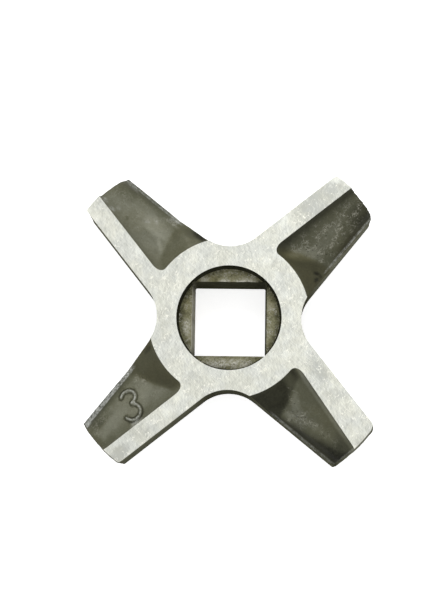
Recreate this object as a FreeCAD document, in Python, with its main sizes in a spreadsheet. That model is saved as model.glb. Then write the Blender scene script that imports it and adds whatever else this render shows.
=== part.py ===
import FreeCAD, Part
import math
import os
import Sketcher
from FreeCAD import Placement, Rotation, Vector

# The knife of a household meat grinder: one casting with four tapered arms round a square drive hole.
# It lies on its flat back. The cutting face looks up, and the origin is in the middle of the back.
# All lengths are in millimetres and all angles in degrees.
DIMENSIONS = {
    # The cross, seen from above
    "cut_circle": 47.0,
    "thickness": 7.4,
    "hub_width": 12.5,
    "tip_width": 7.3,
    "valley_radius": 5.4,
    "tip_corner": 0.3,
    "worn_corner": 1.0,
    "wall_draft": 1.0,
    "first_arm_angle": 45.0,
    # The drive hole and the round recess above it
    "square_side": 9.4,
    "square_corner": 0.2,
    "square_draft": 1.15,
    "recess_radius": 6.78,
    "recess_depth": 1.7,
    "recess_fillet": 0.34,
    # The ground lands and the ring that joins them
    "ring_radius": 10.4,
    "land_width": 2.5,
    "wide_land_hub": 2.9,
    "wide_land_tip": 3.8,
    # The hollow behind each land
    "step_drop": 0.8,
    "step_run": 0.3,
    "foot_radius": 0.8,
    "pocket_corner": 1.2,
    "ramp_angle": 24.0,
    "ramp_span": 8.5,
    "brow_height": 5.0,
    "brow_angle": 41.0,
    "fall_angle": 52.0,
    "flank_angle": 39.0,
    "lip_height": 4.0,
    "lip_width": 0.35,
    "lip_rise": 0.12,
}
ARM_COUNT = 4
WIDE_ARM = 3
# The tip corners that are worn round: the number of the arm, and whether it is the leading corner
WORN_CORNERS = ((0, False), (3, True))
# Cutting tools run past the casting by this much, so that they leave no skin.
OVERRUN = 1.0
# Rough places for the corners of the hollow's two sections, which the sizes then move
RAMP_START = ((1, 9), (-8, 9), (-8, 3), (0, 6))
FALL_START = ((3, 8), (-1, 8), (-1, 4), (0, 4), (1, 4), (2, 5), (3, 7))
FILLET_START = 0.1
# An edge is taken as found when it lies within this share of its expected distance.
NEARNESS = 0.08
# An edge counts as upright when it rises by at least this share of its length.
STEEPNESS = 0.9
# Heights that differ by less than this are the same.
SAME_HEIGHT = 0.001
PARTS_FOLDER = "parts"
NODE = "knife"


def make_sheet(doc):
    """Write every driving dimension into its own named cell."""
    sheet = doc.addObject("Spreadsheet::Sheet", "dims")
    for row, (name, value) in enumerate(DIMENSIONS.items(), start=1):
        sheet.set(f"A{row}", name)
        sheet.set(f"B{row}", str(value))
        sheet.setAlias(f"B{row}", name)
    doc.recompute()
    return sheet


def origin_feature(body, role):
    """Return the plane or axis of a body's own origin that has this role."""
    return next(item for item in body.Origin.OriginFeatures if item.Role == role)


def add_sketch(body, name, plane):
    """Add a sketch on one of the body's origin planes."""
    sketch = body.newObject("Sketcher::SketchObject", name)
    sketch.AttachmentSupport = [(origin_feature(body, plane), "")]
    sketch.MapMode = "FlatFace"
    return sketch


def bind(sketch, constraint, expression):
    """Add a named size to a sketch and tie it to the sheet."""
    kind, name, references = constraint
    index = sketch.addConstraint(Sketcher.Constraint(kind, *references))
    sketch.renameConstraint(index, name)
    sketch.setExpression(f"Constraints.{name}", expression)


def add_polygon(sketch, points):
    """Draw a closed run of straight lines through the points."""
    count = len(points)
    for index, point in enumerate(points):
        after = points[(index + 1) % count]
        sketch.addGeometry(Part.LineSegment(Vector(*point, 0), Vector(*after, 0)), False)
    for index in range(count):
        joint = Sketcher.Constraint("Coincident", index, 2, (index + 1) % count, 1)
        sketch.addConstraint(joint)


def cell(name):
    """Read one driving dimension."""
    return DIMENSIONS[name]


def tip_reach():
    """Expression for how far along an arm its tip corners lie."""
    return "sqrt((dims.cut_circle / 2) ^ 2 - (dims.tip_width / 2) ^ 2)"


def half_width(station):
    """Expression for half of an arm's width at a distance from the middle."""
    return f"(dims.hub_width / 2 - (dims.hub_width - dims.tip_width) / 2 * ({station}) / {tip_reach()})"


def sketch_arm(body):
    """Draw one arm from the middle of the hub to its tip."""
    sketch = add_sketch(body, "arm_outline", "XY_Plane")
    sketch.setExpression("AttachmentOffset.Rotation.Angle", "dims.first_arm_angle")
    radius = cell("cut_circle") / 2
    tip_half = cell("tip_width") / 2
    hub_half = cell("hub_width") / 2
    reach = math.sqrt(radius ** 2 - tip_half ** 2)
    angle = math.asin(tip_half / radius)
    lower_root, upper_root = Vector(0, -hub_half, 0), Vector(0, hub_half, 0)
    lower_tip, upper_tip = Vector(reach, -tip_half, 0), Vector(reach, tip_half, 0)
    circle = Part.Circle(Vector(0, 0, 0), Vector(0, 0, 1), radius)
    trailing = sketch.addGeometry(Part.LineSegment(lower_root, lower_tip), False)
    tip = sketch.addGeometry(Part.ArcOfCircle(circle, -angle, angle), False)
    leading = sketch.addGeometry(Part.LineSegment(upper_tip, upper_root), False)
    root = sketch.addGeometry(Part.LineSegment(upper_root, lower_root), False)
    for first, second in ((trailing, tip), (tip, leading), (leading, root), (root, trailing)):
        sketch.addConstraint(Sketcher.Constraint("Coincident", first, 2, second, 1))
    sketch.addConstraint(Sketcher.Constraint("Coincident", tip, 3, -1, 1))
    sketch.addConstraint(Sketcher.Constraint("PointOnObject", root, 1, -2))
    sketch.addConstraint(Sketcher.Constraint("Symmetric", root, 1, root, 2, -1))
    sketch.addConstraint(Sketcher.Constraint("Vertical", tip, 1, tip, 2))
    bind(sketch, ("Radius", "reach", (tip, radius)), "dims.cut_circle / 2")
    bind(sketch, ("DistanceY", "hub_width", (root, 2, root, 1, 2 * hub_half)), "dims.hub_width")
    bind(sketch, ("DistanceY", "tip_width", (tip, 1, tip, 2, 2 * tip_half)), "dims.tip_width")
    return sketch


def vertical_edges(shape, expected):
    """Names of the nearly upright edges at this distance from the axis."""
    names = []
    for index, edge in enumerate(shape.Edges, start=1):
        start, end = edge.Vertexes[0].Point, edge.Vertexes[-1].Point
        middle = (start + end) / 2
        distance = math.hypot(middle.x, middle.y)
        length = (end - start).Length
        upright = length > SAME_HEIGHT and abs(end.z - start.z) > STEEPNESS * length
        if upright and abs(distance - expected) < NEARNESS * expected:
            names.append(f"Edge{index}")
    return names


def is_worn(edge):
    """Tell whether an upright edge at a tip is one of the corners that are worn round."""
    middle = edge.CenterOfMass
    turn = (math.degrees(math.atan2(middle.y, middle.x)) - cell("first_arm_angle")) * ARM_COUNT / 360
    arm = round(turn)
    return (arm % ARM_COUNT, turn > arm) in WORN_CORNERS


def add_fillet(body, name, base, edges, expression):
    """Round the named edges of a feature."""
    fillet = body.newObject("PartDesign::Fillet", name)
    fillet.Base = (base, edges)
    fillet.Radius = FILLET_START
    fillet.setExpression("Radius", expression)
    return fillet


def valley_distance():
    """How far from the axis two neighbouring arms' sides would meet if nothing rounded them."""
    radius = cell("cut_circle") / 2
    reach = math.sqrt(radius ** 2 - (cell("tip_width") / 2) ** 2)
    slope = (cell("hub_width") - cell("tip_width")) / 2 / reach
    return math.sqrt(2) * cell("hub_width") / 2 / (1 + slope)


def make_cross(doc, body):
    """Cast the plain cross: four tapered arms, joined by round valleys."""
    sketch = sketch_arm(body)
    arm = body.newObject("PartDesign::Pad", "arm")
    arm.Profile = sketch
    arm.setExpression("Length", "dims.thickness")
    arm.setExpression("TaperAngle", "-dims.wall_draft")
    sketch.Visibility = False
    doc.recompute()
    cross = body.newObject("PartDesign::PolarPattern", "cross")
    cross.Originals = [arm]
    cross.Axis = (origin_feature(body, "Z_Axis"), [""])
    cross.Angle = 360.0
    cross.Occurrences = ARM_COUNT
    body.Tip = cross
    doc.recompute()
    valleys = vertical_edges(cross.Shape, valley_distance())
    rounded = add_fillet(body, "valleys", cross, valleys, "dims.valley_radius")
    doc.recompute()
    tips = vertical_edges(rounded.Shape, cell("cut_circle") / 2)
    worn = [name for name in tips if is_worn(rounded.Shape.getElement(name))]
    blunted = add_fillet(body, "worn_corners", rounded, worn, "dims.worn_corner")
    doc.recompute()
    tips = vertical_edges(blunted.Shape, cell("cut_circle") / 2)
    sharp = [name for name in tips if not is_worn(blunted.Shape.getElement(name))]
    add_fillet(body, "tip_corners", blunted, sharp, "dims.tip_corner")
    doc.recompute()


def cut_square(doc, body):
    """Cut the square drive hole, which widens a little from the back upward."""
    sketch = add_sketch(body, "square_outline", "XY_Plane")
    half = cell("square_side") / 2
    add_polygon(sketch, [(-half, -half), (half, -half), (half, half), (-half, half)])
    for side, kind in enumerate(("Horizontal", "Vertical", "Horizontal", "Vertical")):
        sketch.addConstraint(Sketcher.Constraint(kind, side))
    sketch.addConstraint(Sketcher.Constraint("Symmetric", 0, 1, 1, 2, -1, 1))
    bind(sketch, ("DistanceX", "width", (0, 1, 0, 2, 2 * half)), "dims.square_side")
    bind(sketch, ("DistanceY", "height", (1, 1, 1, 2, 2 * half)), "dims.square_side")
    hole = body.newObject("PartDesign::Pocket", "square_hole")
    hole.Profile = sketch
    hole.Reversed = True
    hole.setExpression("Length", "dims.thickness - dims.recess_depth + dims.recess_fillet")
    hole.setExpression("TaperAngle", "dims.square_draft")
    doc.recompute()
    corners = vertical_edges(hole.Shape, math.sqrt(2) * half)
    add_fillet(body, "square_corners", hole, corners, "dims.square_corner")
    doc.recompute()


def add_line(sketch, start, end):
    """Draw one straight line and return its number."""
    return sketch.addGeometry(Part.LineSegment(Vector(*start, 0), Vector(*end, 0)), False)


def cut_recess(doc, body):
    """Turn the round recess out of the cutting face, with a rounded foot."""
    sketch = add_sketch(body, "recess_profile", "XZ_Plane")
    radius, fillet = cell("recess_radius"), cell("recess_fillet")
    top = cell("thickness") + OVERRUN
    low = cell("thickness") - cell("recess_depth")
    flat = radius - fillet
    floor = add_line(sketch, (0, low), (flat, low))
    circle = Part.Circle(Vector(flat, low + fillet, 0), Vector(0, 0, 1), fillet)
    foot = sketch.addGeometry(Part.ArcOfCircle(circle, -math.pi / 2, 0), False)
    wall = add_line(sketch, (radius, low + fillet), (radius, top))
    lid = add_line(sketch, (radius, top), (0, top))
    axis = add_line(sketch, (0, top), (0, low))
    sketch.addConstraint(Sketcher.Constraint("Tangent", floor, 2, foot, 1))
    sketch.addConstraint(Sketcher.Constraint("Tangent", foot, 2, wall, 1))
    for first, second in ((wall, lid), (lid, axis), (axis, floor)):
        sketch.addConstraint(Sketcher.Constraint("Coincident", first, 2, second, 1))
    for upright in (wall, axis):
        sketch.addConstraint(Sketcher.Constraint("Vertical", upright))
    sketch.addConstraint(Sketcher.Constraint("Horizontal", lid))
    sketch.addConstraint(Sketcher.Constraint("PointOnObject", axis, 2, -2))
    bind(sketch, ("Radius", "foot", (foot, fillet)), "dims.recess_fillet")
    bind(sketch, ("DistanceX", "rim", (-1, 1, wall, 2, radius)), "dims.recess_radius")
    bind(sketch, ("DistanceY", "floor", (-1, 1, axis, 2, low)), "dims.thickness - dims.recess_depth")
    bind(sketch, ("DistanceY", "lid", (-1, 1, axis, 1, top)), f"dims.thickness + {OVERRUN}")
    doc.recompute()
    recess = body.newObject("PartDesign::Groove", "recess")
    recess.Profile = sketch
    recess.ReferenceAxis = (origin_feature(body, "Z_Axis"), [""])
    recess.Angle = 360.0
    doc.recompute()


def land_line(width_at_hub, width_at_tip):
    """Expressions for the slope of a land's inner edge and its height above the middle."""
    draft = "dims.thickness * tan(dims.wall_draft)"
    near = f"({half_width('dims.ring_radius')} - {draft} - {width_at_hub})"
    far = f"({half_width(tip_reach())} - {draft} - {width_at_tip})"
    slope = f"(({near} - {far}) / ({tip_reach()} - dims.ring_radius))"
    return slope, f"{near} + {slope} * dims.ring_radius"


def section_sketch(body, name, side, angle, corners, start):
    """Draw a tool's section across an arm, with its zero on a line that runs out along the arm."""
    sketch = add_sketch(body, name, "YZ_Plane")
    sketch.AttachmentOffset = Placement(Vector(0, 0, 0), Rotation(Vector(0, 1, 0), 1.0))
    sketch.setExpression("AttachmentOffset.Base.x", side)
    sketch.setExpression("AttachmentOffset.Rotation.Angle", angle)
    add_polygon(sketch, start)
    for index, (corner, across, height) in enumerate(corners):
        bind(sketch, ("DistanceX", f"{corner}_across", (-1, 1, index, 1, start[index][0])), across)
        bind(sketch, ("DistanceY", f"{corner}_height", (-1, 1, index, 1, start[index][1])), height)
    return sketch


def add_run(body, name, sketch):
    """Extend a section out along the arm, past its tip."""
    run = body.newObject("PartDesign::Pad", name)
    run.Profile = sketch
    run.setExpression("Length", f"dims.cut_circle / 2 + {OVERRUN}")
    return run


def ramp_corners():
    """Section of the step down from a land and of the ramp behind it."""
    top = f"dims.thickness + {OVERRUN}"
    foot = "dims.thickness - dims.step_drop"
    return (
        ("land_top", f"{OVERRUN} * dims.step_run / dims.step_drop", top),
        ("outside_top", "-dims.step_run - dims.ramp_span", top),
        ("outside", "-dims.step_run - dims.ramp_span", f"{foot} - dims.ramp_span * tan(dims.ramp_angle)"),
        ("foot", "-dims.step_run", foot),
    )


def fall_corners():
    """Section of the fall from the ramp to the lip along the trailing edge.

    The fall is steeper below its brow, and reaches inward until it is as high as the foot of the step.
    """
    top = f"dims.thickness + {OVERRUN}"
    foot = "dims.thickness - dims.step_drop"
    gutter = "dims.lip_height - dims.lip_rise"
    brow = f"dims.lip_width + (dims.brow_height - {gutter}) / tan(dims.fall_angle)"
    inside = f"{brow} + ({foot} - dims.brow_height) / tan(dims.brow_angle)"
    return (
        ("inside_top", inside, top),
        ("outside_top", f"-{OVERRUN}", top),
        ("outside", f"-{OVERRUN}", "dims.lip_height"),
        ("lip", "dims.lip_width / 2", "dims.lip_height"),
        ("gutter", "dims.lip_width", gutter),
        ("brow", brow, "dims.brow_height"),
        ("inside", inside, foot),
    )


def foot_edge(shape, height):
    """Name of the longest straight edge that lies level at this height."""
    best, found = 0.0, None
    for index, edge in enumerate(shape.Edges, start=1):
        level = all(abs(vertex.Z - height) < SAME_HEIGHT for vertex in edge.Vertexes)
        if level and isinstance(edge.Curve, Part.Line) and edge.Length > best:
            best, found = edge.Length, f"Edge{index}"
    if found is None:
        raise ValueError("the step has no foot")
    return [found]


def corner_edge(shape, height):
    """Name of the edge where the step meets the hub's flank, which ends at this height."""
    for index, edge in enumerate(shape.Edges, start=1):
        lowest = min(vertex.Z for vertex in edge.Vertexes)
        if isinstance(edge.Curve, Part.Hyperbola) and abs(lowest - height) < SAME_HEIGHT:
            return [f"Edge{index}"]
    raise ValueError("the step and the hub's flank have no edge in common")


def add_hub_flank(body):
    """Leave the hub's cone standing at the inner end of the hollow."""
    hub = body.newObject("PartDesign::SubtractiveCone", "hub_flank")
    hub.AttachmentSupport = [(origin_feature(body, "XY_Plane"), "")]
    hub.MapMode = "FlatFace"
    hub.AttachmentOffset = Placement(Vector(0, 0, 0), Rotation(Vector(0, 0, 1), 180))
    spread = "1 / tan(dims.flank_angle)"
    hub.setExpression("Radius1", f"dims.ring_radius + dims.thickness * {spread}")
    hub.setExpression("Radius2", f"dims.ring_radius - {OVERRUN} * {spread}")
    hub.setExpression("Height", f"dims.thickness + {OVERRUN}")
    return hub


def make_relief(doc, number, width_at_hub, width_at_tip):
    """Make the shape of the hollow behind one land, to be taken out of the cross."""
    body = doc.addObject("PartDesign::Body", f"relief_{number}")
    slope, land_side = land_line(width_at_hub, width_at_tip)
    ramp = section_sketch(body, "ramp_section", land_side, f"-atan({slope})", ramp_corners(), RAMP_START)
    add_run(body, "ramp", ramp)
    taper = f"atan((dims.hub_width - dims.tip_width) / 2 / {tip_reach()})"
    fall = section_sketch(body, "fall_section", "-dims.hub_width / 2", taper, fall_corners(), FALL_START)
    add_run(body, "fall", fall)
    doc.recompute()
    hub = add_hub_flank(body)
    doc.recompute()
    height = cell("thickness") - cell("step_drop")
    corner = add_fillet(body, "corner", hub, corner_edge(hub.Shape, height), "dims.pocket_corner")
    doc.recompute()
    add_fillet(body, "foot", corner, foot_edge(corner.Shape, height), "dims.foot_radius")
    doc.recompute()
    body.Placement = Placement(Vector(0, 0, 0), Rotation(Vector(0, 0, 1), 0))
    body.setExpression("Placement.Rotation.Angle", f"dims.first_arm_angle + {number} * 360 / {ARM_COUNT}")
    return body


def cut_reliefs(doc, body):
    """Take the four hollows out of the cross."""
    reliefs = []
    for number in range(ARM_COUNT):
        if number == WIDE_ARM:
            reliefs.append(make_relief(doc, number, "dims.wide_land_hub", "dims.wide_land_tip"))
        else:
            reliefs.append(make_relief(doc, number, "dims.land_width", "dims.land_width"))
    doc.recompute()
    before = body.Shape.Volume
    hollows = body.newObject("PartDesign::Boolean", "hollows")
    hollows.Type = "Cut"
    hollows.setObjects(reliefs)
    body.Tip = hollows
    doc.recompute()
    if body.Shape.Volume > 0.95 * before:
        raise ValueError("the hollows weren't cut")


def check_document(doc, body):
    """Stop if any feature failed or the knife isn't one valid solid."""
    for item in doc.Objects:
        if {"Invalid", "Error"} & set(item.State):
            raise ValueError(f"{item.Name} failed")
    shape = body.Shape
    if shape.isNull() or not shape.isValid() or len(shape.Solids) != 1:
        raise ValueError("the knife isn't one valid solid")


def main():
    """Build the knife and write it out."""
    doc = FreeCAD.newDocument("grinder_knife")
    make_sheet(doc)
    body = doc.addObject("PartDesign::Body", NODE)
    body.Label = NODE
    make_cross(doc, body)
    cut_square(doc, body)
    cut_recess(doc, body)
    cut_reliefs(doc, body)
    check_document(doc, body)
    os.makedirs(PARTS_FOLDER, exist_ok=True)
    body.Shape.exportStep(os.path.join(PARTS_FOLDER, f"{body.Label}.step"))
    print(f"{NODE}: {body.Shape.Volume:.1f} cubic millimetres")


main()
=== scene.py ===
"""Looks of a household meat grinder knife, worked over its packed casting.

Lengths are in metres unless a name or a docstring says millimetres.
"""

import logging
import math
from dataclasses import dataclass, field
from enum import Enum

import bmesh
import bpy
from mathutils import Euler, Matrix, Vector, noise


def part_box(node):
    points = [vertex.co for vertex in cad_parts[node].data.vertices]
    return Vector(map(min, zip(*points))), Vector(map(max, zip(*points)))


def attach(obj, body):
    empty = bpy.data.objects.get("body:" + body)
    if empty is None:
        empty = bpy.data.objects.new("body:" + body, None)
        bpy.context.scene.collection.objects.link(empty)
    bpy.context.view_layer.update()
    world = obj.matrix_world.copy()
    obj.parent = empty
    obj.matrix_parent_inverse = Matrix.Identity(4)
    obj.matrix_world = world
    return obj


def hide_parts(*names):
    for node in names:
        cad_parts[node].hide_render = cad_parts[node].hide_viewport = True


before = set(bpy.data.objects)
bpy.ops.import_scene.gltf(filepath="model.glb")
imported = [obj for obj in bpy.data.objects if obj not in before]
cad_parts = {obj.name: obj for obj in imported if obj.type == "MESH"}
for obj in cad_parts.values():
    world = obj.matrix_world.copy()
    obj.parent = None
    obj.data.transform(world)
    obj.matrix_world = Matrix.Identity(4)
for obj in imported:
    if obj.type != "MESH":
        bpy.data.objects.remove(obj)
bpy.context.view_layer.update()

MM = 0.001
WELD = 0.0001 * MM  # points that are this close are one
LEVEL = math.radians(0.2)  # faces that turn by less than this are one flat face
NOISE_MIDDLE = 0.5  # the value that a noise pattern varies around
CLEAR = 9.0  # well away from a lip's worn, highlighted line, in half widths of it
LAYERS = ("tone", "grit", "brown", "wear", "lip", "edge", "land")  # the numbers that each point carries
LOG = logging.getLogger("grinder_knife")
Colour = tuple[float, float, float, float]
Pair = tuple[float, float]
Triple = tuple[float, float, float]
Node = bpy.types.Node
Socket = bpy.types.NodeSocket
Shell = bmesh.types.BMesh
Face = bmesh.types.BMFace
Vert = bmesh.types.BMVert


class Region(Enum):
    """The kinds of surface on the casting, each with a finish of its own."""

    GROUND = "ground_lands"
    HOLLOW = "hollow_skin"
    WALL = "outer_walls"
    RECESS = "recess_floor"
    RECESS_WALL = "recess_wall"
    BORE = "square_hole_walls"
    BACK = "back_face"


class Corner(Enum):
    """The four arms by their corner of the picture, in the order in which they stand round the axis."""

    UPPER_RIGHT = 0
    UPPER_LEFT = 1
    LOWER_LEFT = 2
    LOWER_RIGHT = 3


def smoothstep(low: float, high: float, value: float) -> float:
    """Ease from 0 at one value to 1 at another.

    Args:
        low: The value at which the result is 0.
        high: The value at which the result is 1. It may be the smaller one.
        value: The value to ease.

    Returns:
        A share from 0 to 1.
    """
    share = min(1.0, max(0.0, (value - low) / (high - low)))
    return share * share * (3.0 - 2.0 * share)


@dataclass
class Graph:
    """Adds nodes to one node tree and links them.

    Attributes:
        tree: The tree that the nodes go into.
    """

    tree: bpy.types.NodeTree

    def add(self, kind: str, **settings: object) -> Node:
        """Add a node and set its properties.

        Args:
            kind: The node's type name.
            settings: Properties of the node by name.

        Returns:
            The new node.
        """
        node = self.tree.nodes.new(kind)
        for name, value in settings.items():
            setattr(node, name, value)
        return node

    def find(self, kind: str) -> Node:
        """Find the node of one type that a new tree comes with."""
        return next(node for node in self.tree.nodes if node.type == kind)

    def feed(self, target: Socket, value: object) -> None:
        """Link a socket to another, or set it to a plain value.

        Args:
            target: The input that is fed.
            value: A socket, or a number, colour or vector.
        """
        if isinstance(value, Socket):
            self.tree.links.new(value, target)
        else:
            target.default_value = value

    def math(self, operation: str, first: object, second: object = 0.0, clamp: bool = False) -> Socket:
        """Work out one sum on one or two values.

        Args:
            operation: The Math node's operation.
            first: A socket or number.
            second: A socket or number.
            clamp: Whether the result is held between 0 and 1.

        Returns:
            The result's socket.
        """
        node = self.add("ShaderNodeMath", operation=operation, use_clamp=clamp)
        self.feed(node.inputs[0], first)
        self.feed(node.inputs[1], second)
        return node.outputs[0]

    def span(self, value: Socket, low: float, high: float, start: float = 0.0, end: float = 1.0) -> Socket:
        """Map a value smoothly from one span to another.

        Args:
            value: The value to map.
            low: Where the first span starts.
            high: Where the first span ends.
            start: The result at low and below.
            end: The result at high and above.

        Returns:
            The result's socket.
        """
        node = self.add("ShaderNodeMapRange", interpolation_type="SMOOTHSTEP")
        for index, item in enumerate((value, low, high, start, end)):
            self.feed(node.inputs[index], item)
        return node.outputs[0]

    def mix(self, share: object, first: object, second: object, blend: str = "MIX") -> Socket:
        """Mix two colours.

        Args:
            share: How much of the second shows, from 0 to 1.
            first: A colour or its socket.
            second: A colour or its socket.
            blend: The way of mixing.

        Returns:
            The mixed colour's socket.
        """
        node = self.add("ShaderNodeMix", data_type="RGBA", blend_type=blend)
        self.feed(node.inputs[0], share)
        self.feed(node.inputs[6], first)
        self.feed(node.inputs[7], second)
        return node.outputs[2]

    def cells(self, place: Socket, per_mm: float) -> Socket:
        """Add a pattern of small cells, as the distance to the nearest cell's middle.

        Args:
            place: The coordinates, in metres.
            per_mm: How many cells the pattern has in a millimetre.

        Returns:
            The distance, from 0 in a cell's middle to about 1.
        """
        node = self.add("ShaderNodeTexVoronoi")
        self.feed(node.inputs["Vector"], place)
        node.inputs["Scale"].default_value = per_mm / MM
        return node.outputs["Distance"]

    def turned(self, place: Socket, degrees: float, stretch: float) -> Socket:
        """Turn coordinates about the knife's axis and draw them out along one direction.

        Args:
            place: The coordinates, in metres.
            degrees: The direction that the pattern runs in.
            stretch: How many times longer than wide the pattern is.

        Returns:
            The new coordinates.
        """
        node = self.add("ShaderNodeMapping", vector_type="TEXTURE")
        self.feed(node.inputs["Vector"], place)
        node.inputs["Rotation"].default_value = (0.0, 0.0, math.radians(degrees))
        node.inputs["Scale"].default_value = (stretch, 1.0, 1.0)
        return node.outputs["Vector"]

    def attribute(self, name: str) -> Socket:
        """Read one of the numbers that the casting carries at each point."""
        return self.add("ShaderNodeAttribute", attribute_name=name).outputs["Fac"]

    def looked_at(self) -> Socket:
        """Tell rays that look at a surface from rays that only gather its light.

        Returns:
            A socket that is 1 for camera, reflection and see-through rays, and otherwise 0.
        """
        path = self.add("ShaderNodeLightPath").outputs
        seen = self.math("MAXIMUM", path["Is Camera Ray"], path["Is Glossy Ray"])
        return self.math("MAXIMUM", seen, path["Is Transmission Ray"])


@dataclass(frozen=True)
class Pattern:
    """A noise pattern of a real size, drawn out along one direction where its stretch isn't 1.

    Attributes:
        per_mm: How many features lie side by side in a millimetre.
        detail: How many finer layers it has.
        roughness: How strong the finer layers are.
        degrees: The direction that it is drawn out in.
        stretch: How many times longer than wide its features are.
    """

    per_mm: float
    detail: float
    roughness: float
    degrees: float = 0.0
    stretch: float = 1.0

    def value(self, graph: Graph, place: Socket) -> Socket:
        """Add the pattern to a graph.

        Args:
            graph: The graph.
            place: The coordinates, in metres.

        Returns:
            The pattern's value, around 0.5.
        """
        if self.stretch != 1.0:
            place = graph.turned(place, self.degrees, self.stretch)
        node = graph.add("ShaderNodeTexNoise")
        graph.feed(node.inputs["Vector"], place)
        node.inputs["Scale"].default_value = self.per_mm / MM
        node.inputs["Detail"].default_value = self.detail
        node.inputs["Roughness"].default_value = self.roughness
        return node.outputs["Fac"]

    def winding(self, graph: Graph, place: Socket, width: float) -> Socket:
        """Add thin winding lines, where the pattern crosses its middle value.

        Args:
            graph: The graph.
            place: The coordinates, in metres.
            width: How far from its middle value a line ends.

        Returns:
            A share from 0 to 1 that is 1 on the lines.
        """
        off = graph.math("SUBTRACT", self.value(graph, place), NOISE_MIDDLE)
        return graph.span(graph.math("ABSOLUTE", off), width, width * 0.2)


@dataclass(frozen=True)
class Effect:
    """A shader effect that several finishes share, built once as a node group.

    Attributes:
        name: The group's name.
        inputs: Each input's name and first value.
        outputs: Each output's name.
    """

    name: str
    inputs: tuple[tuple[str, float], ...]
    outputs: tuple[str, ...]

    def wire(self, graph: Graph, given: Node, result: Node) -> None:
        """Build the effect's nodes between its inputs and outputs.

        Args:
            graph: The group's graph.
            given: The group's input node.
            result: The group's output node.
        """
        raise NotImplementedError

    def tree(self) -> bpy.types.NodeTree:
        """Build the node group, or find it if it has been built.

        Returns:
            The group.
        """
        found = bpy.data.node_groups.get(self.name)
        if found:
            return found
        tree = bpy.data.node_groups.new(self.name, "ShaderNodeTree")
        for name, value in self.inputs:
            socket = tree.interface.new_socket(name=name, in_out="INPUT", socket_type="NodeSocketFloat")
            socket.default_value = value
        for name in self.outputs:
            tree.interface.new_socket(name=name, in_out="OUTPUT", socket_type="NodeSocketFloat")
        graph = Graph(tree)
        self.wire(graph, graph.add("NodeGroupInput"), graph.add("NodeGroupOutput"))
        return tree

    def place(self, graph: Graph, **values: object) -> Node:
        """Use the effect in a material.

        Args:
            graph: The material's graph.
            values: A socket or number for each input, by its name.

        Returns:
            The group node.
        """
        node = graph.add("ShaderNodeGroup", node_tree=self.tree())
        for name, value in values.items():
            graph.feed(node.inputs[name], value)
        return node


@dataclass(frozen=True)
class GrindingMarks(Effect):
    """Short fine scratches that cross each other, left by the grinding of a flat face.

    Attributes:
        families: The scratches, by the way that they run.
        clouds: The broad lighter and darker places.
        tint: The pattern of the warmer places.
        tint_span: Where the warmth starts and is full in its pattern.
        glint: The pattern that carries the painted glints along the scratches.
        glint_width: How far from its middle value a painted glint ends.
        thinning: The pattern that thins them out.
        thinning_span: Where they start and are full in that pattern.
    """

    name: str = "grinding_marks"
    inputs: tuple[tuple[str, float], ...] = ()
    outputs: tuple[str, ...] = ("Streaks", "Clouds", "Tint", "Glints")
    families: tuple[Pattern, ...] = (
        Pattern(8.0, 3.0, 0.65, 58.0, 8.0),
        Pattern(7.0, 3.0, 0.65, -41.0, 7.0),
        Pattern(5.5, 2.0, 0.55, 102.0, 5.0),
    )
    clouds: Pattern = Pattern(1.0, 3.0, 0.5, 50.0, 1.5)
    tint: Pattern = Pattern(0.4, 3.0, 0.6)
    tint_span: Pair = (0.38, 0.62)
    glint: Pattern = Pattern(1.6, 3.0, 0.6, 66.0, 2.0)
    glint_width: float = 0.025
    thinning: Pattern = Pattern(1.3, 2.0, 0.5)
    thinning_span: Pair = (0.50, 0.62)

    def wire(self, graph: Graph, given: Node, result: Node) -> None:
        """Lay the families of scratches over soft clouds.

        Args:
            graph: The group's graph.
            given: The group's input node, which is not used here.
            result: The group's output node.
        """
        place = graph.add("ShaderNodeTexCoord").outputs["Object"]
        streaks = self.families[0].value(graph, place)
        for family in self.families[1:]:
            streaks = graph.math("ADD", streaks, family.value(graph, place))
        streaks = graph.math("SUBTRACT", streaks, NOISE_MIDDLE * len(self.families))
        clouds = graph.math("SUBTRACT", self.clouds.value(graph, place), NOISE_MIDDLE)
        tint = graph.span(self.tint.value(graph, place), *self.tint_span)
        sharp = self.glint.winding(graph, place, self.glint_width)
        rare = graph.span(self.thinning.value(graph, place), *self.thinning_span)
        graph.feed(result.inputs["Streaks"], streaks)
        graph.feed(result.inputs["Clouds"], clouds)
        graph.feed(result.inputs["Tint"], tint)
        graph.feed(result.inputs["Glints"], graph.math("MULTIPLY", sharp, rare))


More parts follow.
